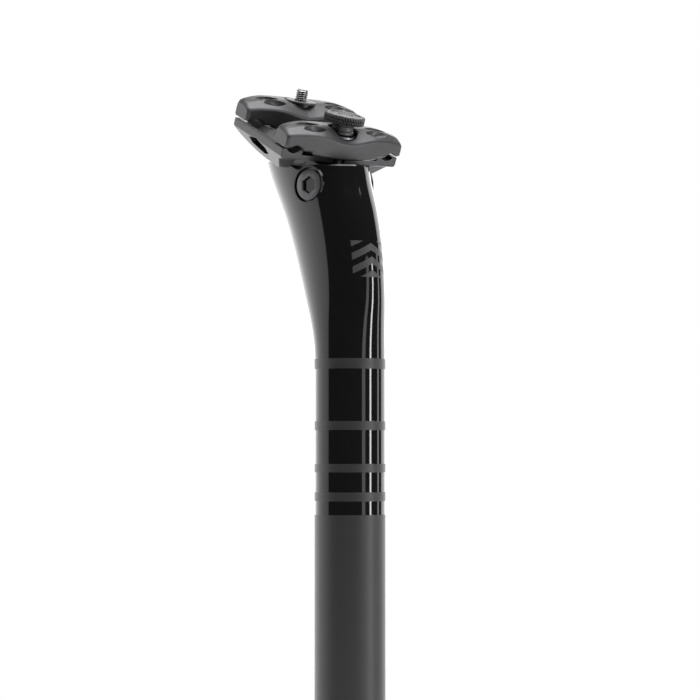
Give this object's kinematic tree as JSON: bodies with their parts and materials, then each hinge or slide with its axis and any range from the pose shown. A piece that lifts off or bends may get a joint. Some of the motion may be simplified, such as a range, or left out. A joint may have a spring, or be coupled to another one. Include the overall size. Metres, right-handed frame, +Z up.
{
  "type": "suspension seatpost",
  "caption": "Bicycle suspension seatpost: round tube, flared head with a sprung rocker arm, and a two-bolt saddle rail clamp with a knurled thumb nut.",
  "frame": {"origin": "centre of the bottom end face of the post, on the tube axis", "axes": "+Z up along the tube, -Y forward towards the handlebar, +X across the bike to the rider's left when seen from the front"},
  "size_m": [0.054, 0.0626, 0.3715],
  "materials": {
    "post_finish": "gloss black lacquer above, satin black anodised tube below, satin bands",
    "forged_grey": "satin dark grey anodised forging",
    "hardware_steel": "bright zinc-plated steel",
    "dark_steel": "black oxide steel",
    "bearing_bronze": "sintered bronze",
    "seal_rubber": "black rubber",
    "spring_elastomer": "satin red polyurethane",
    "inner_plastic": "black glass-filled nylon"
  },
  "bodies": {
    "post": {"post_body": "post_finish", "end_plug": "inner_plastic", "end_plug_seal": "seal_rubber", "elastomer_spring": "spring_elastomer", "topout_bumper": "seal_rubber", "pivot_axle": "hardware_steel", "pivot_cap_left": "dark_steel", "pivot_cap_right": "dark_steel", "thrust_washer_left": "bearing_bronze", "thrust_washer_right": "bearing_bronze", "axle_seal_left": "seal_rubber", "axle_seal_right": "seal_rubber"},
    "spring_carrier": {"spring_seat": "inner_plastic", "spring_guide_pin": "hardware_steel"},
    "preload_screw": {"preload_screw": "dark_steel"},
    "rocker": {"rocker_arm": "forged_grey", "axle_bushing_left": "bearing_bronze", "axle_bushing_right": "bearing_bronze", "elastomer_cap": "inner_plastic"},
    "cradle": {"lower_cradle": "forged_grey", "front_stud": "hardware_steel", "rear_stud": "hardware_steel", "front_anchor_barrel": "dark_steel", "rear_anchor_barrel": "dark_steel"},
    "front_clamp": {"upper_clamp_front": "forged_grey", "front_washer": "hardware_steel"},
    "thumb_nut": {"thumb_nut": "forged_grey"},
    "rear_clamp": {"upper_clamp_rear": "forged_grey"},
    "rear_nut": {"rear_flange_nut": "forged_grey"}
  },
  "joints": [
    {"name": "rocker_pivot", "type": "hinge", "parent": "post", "child": "rocker", "pos_m": [0, 0.0086, 0.33], "axis": [-1, 0, 0], "range_deg": [0, 12], "stiffness_Nm_per_rad": 85, "springref_deg": -1.72, "deforming": ["elastomer_spring"]},
    {"name": "cradle_tilt", "type": "hinge", "parent": "rocker", "child": "cradle", "pos_m": [0, 0.0228, 0.351], "axis": [1, 0, 0], "range_deg": [-2.5, 2.5]},
    {"name": "front_clamp_lift", "type": "slide", "parent": "cradle", "child": "front_clamp", "axis": [0, -0.342, 0.9397], "range_m": [0, 0.0048]},
    {"name": "thumb_nut_turn", "type": "hinge", "parent": "front_clamp", "child": "thumb_nut", "pos_m": [0, 0.00384, 0.3559], "axis": [0, -0.342, 0.9397], "range_deg": [0, 2165]},
    {"name": "rear_clamp_lift", "type": "slide", "parent": "cradle", "child": "rear_clamp", "axis": [0, -0.2924, 0.9563], "range_m": [0, 0.0048]},
    {"name": "rear_nut_turn", "type": "hinge", "parent": "rear_clamp", "child": "rear_nut", "pos_m": [0, 0.03471, 0.3642], "axis": [0, -0.2924, 0.9563], "range_deg": [0, 2165]},
    {"name": "preload_travel", "type": "slide", "parent": "post", "child": "spring_carrier", "axis": [0, 0, 1], "range_m": [-0.003, 0], "deforming": ["elastomer_spring"]},
    {"name": "preload_turn", "type": "hinge", "parent": "spring_carrier", "child": "preload_screw", "pos_m": [0, 0, 0.257], "axis": [0, 0, 1], "range_deg": [-1085, 0]}
  ],
  "couplings": [
    {"joint": "thumb_nut_turn", "follows": "front_clamp_lift", "rad_per_m": 7854},
    {"joint": "rear_nut_turn", "follows": "rear_clamp_lift", "rad_per_m": 7854},
    {"joint": "preload_turn", "follows": "preload_travel", "rad_per_m": 6283.2}
  ]
}
